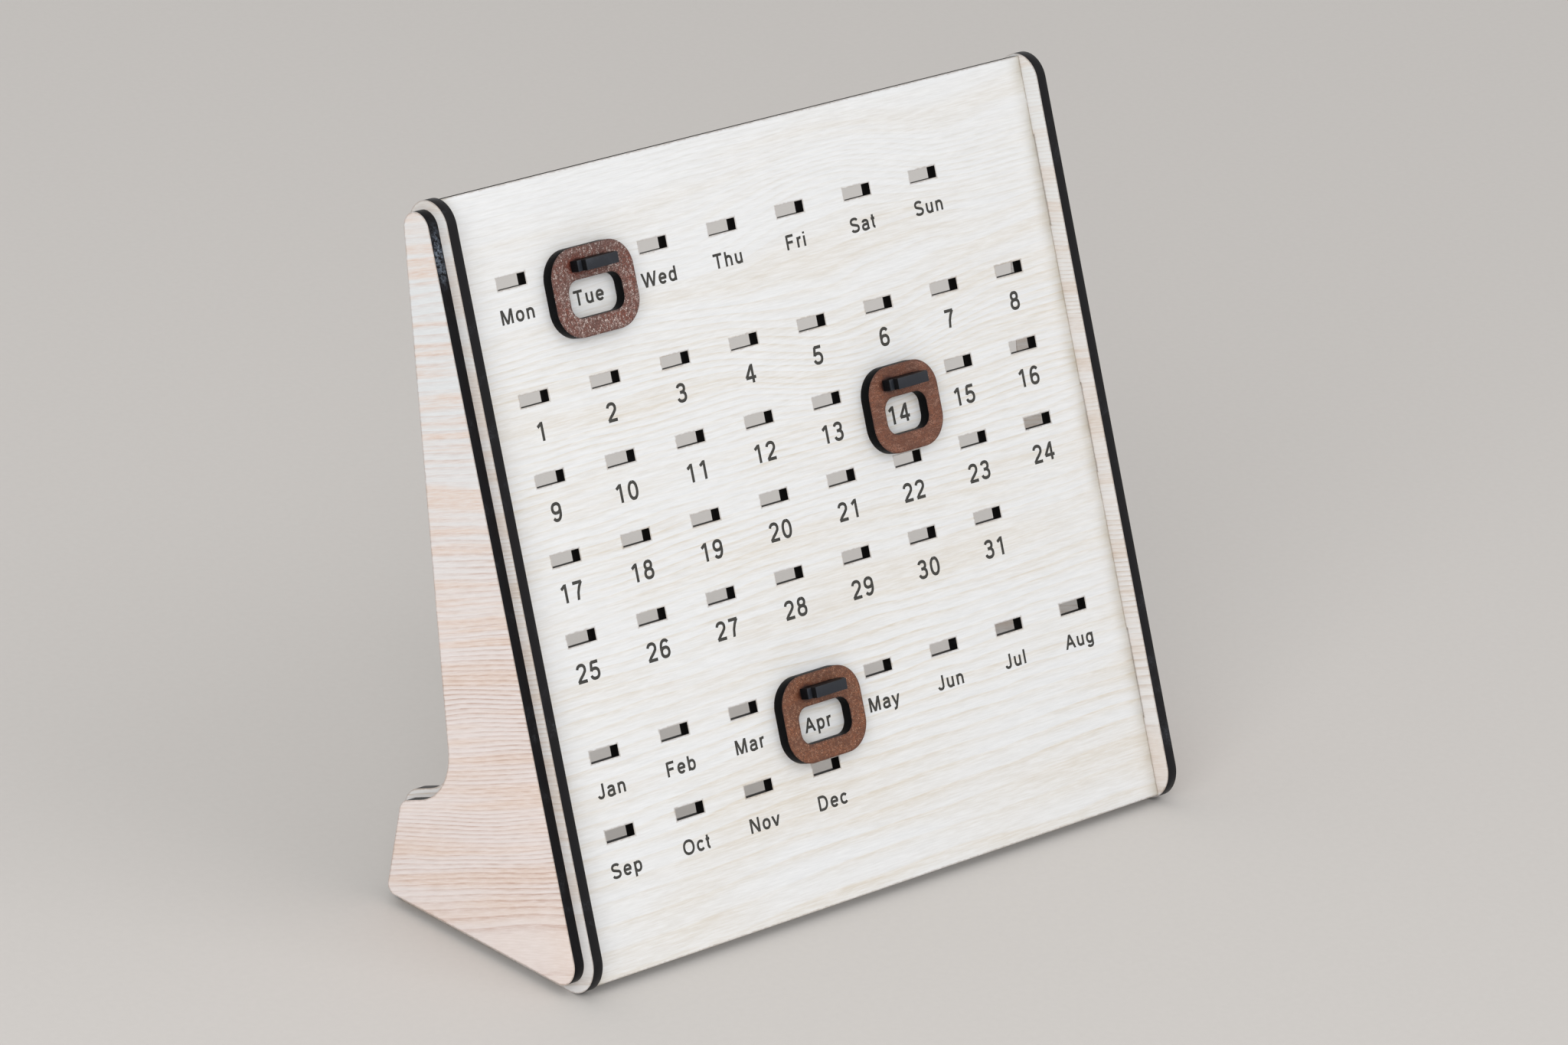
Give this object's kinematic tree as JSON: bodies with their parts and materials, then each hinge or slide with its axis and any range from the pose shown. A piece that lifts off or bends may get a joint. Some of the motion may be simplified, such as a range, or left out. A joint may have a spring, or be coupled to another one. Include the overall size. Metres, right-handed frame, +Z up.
{
  "type": "perpetual desk calendar",
  "caption": "Slotted board leaning back between double side plates, with pull-out ring markers that frame the weekday, day and month.",
  "frame": {"origin": "on the table, in the middle of the stand's box", "axes": "+X to the reader's right along the panel's width, +Y away from the reader, +Z up"},
  "size_m": [0.2168, 0.085, 0.1898],
  "materials": {
    "white_laminate": "white bleached-grain laminate with charred laser-cut edges",
    "brown_laminate": "brown leather-look laminate with charred laser-cut edges",
    "charred_board": "charred satin laser-cut board"
  },
  "bodies": {
    "stand": {"front_panel": "white_laminate", "left_inner_side": "white_laminate", "right_inner_side": "white_laminate", "left_outer_side": "white_laminate", "right_outer_side": "white_laminate", "foot_rail": "white_laminate"},
    "weekday_marker": {"weekday_ring": "brown_laminate", "weekday_peg": "charred_board"},
    "day_marker": {"day_ring": "brown_laminate", "day_peg": "charred_board"},
    "month_marker": {"month_ring": "brown_laminate", "month_peg": "charred_board"}
  },
  "joints": [
    {"name": "weekday_pull", "type": "slide", "parent": "stand", "child": "weekday_marker", "axis": [0, -0.9272, 0.3746], "range_m": [0, 0.012]},
    {"name": "day_pull", "type": "slide", "parent": "stand", "child": "day_marker", "axis": [0, -0.9272, 0.3746], "range_m": [0, 0.012]},
    {"name": "month_pull", "type": "slide", "parent": "stand", "child": "month_marker", "axis": [0, -0.9272, 0.3746], "range_m": [0, 0.012]}
  ]
}
